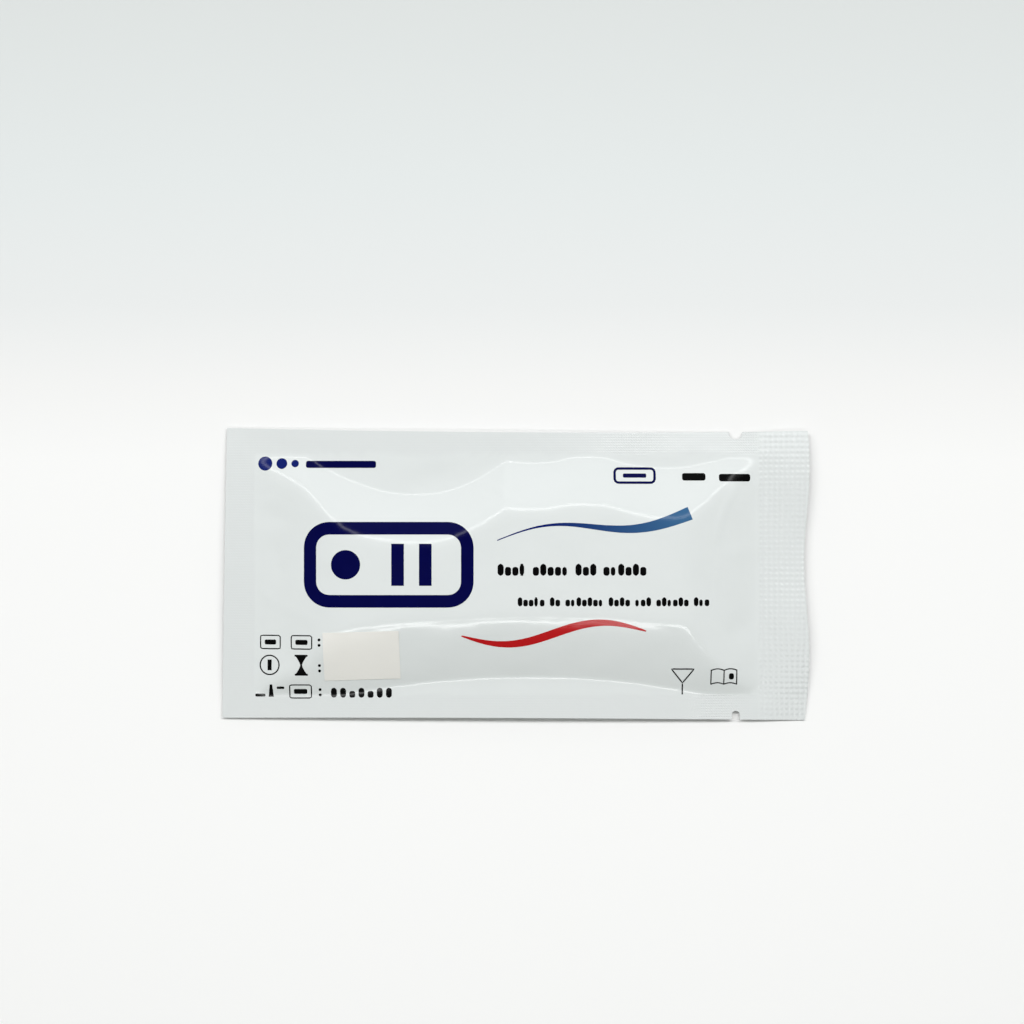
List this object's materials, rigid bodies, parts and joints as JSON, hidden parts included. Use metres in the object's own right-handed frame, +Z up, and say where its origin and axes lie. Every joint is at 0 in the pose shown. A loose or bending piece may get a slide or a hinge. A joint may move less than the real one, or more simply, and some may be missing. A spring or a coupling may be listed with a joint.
{
  "type": "sealed film pouch of a rapid test",
  "caption": "Flat heat-sealed film pouch around a rapid test: raised middle, flat knurled seals on all sides, tear notches and a small blank label.",
  "frame": {"origin": "under the middle of the pouch's outline, on the plane that it rests on", "axes": "+X along the pouch towards its tear end, +Y across it towards its upper edge, +Z up, out of the printed side"},
  "size_m": [0.1409, 0.0703, 0.0069],
  "materials": {
    "film": "white laminated film, glossy, with knurled matte seals and printed fields of colour",
    "label": "plain uncoated paper label, matte"
  },
  "bodies": {
    "root": {"sealed_pouch": "film", "blank_label": "label"}
  },
  "joints": []
}
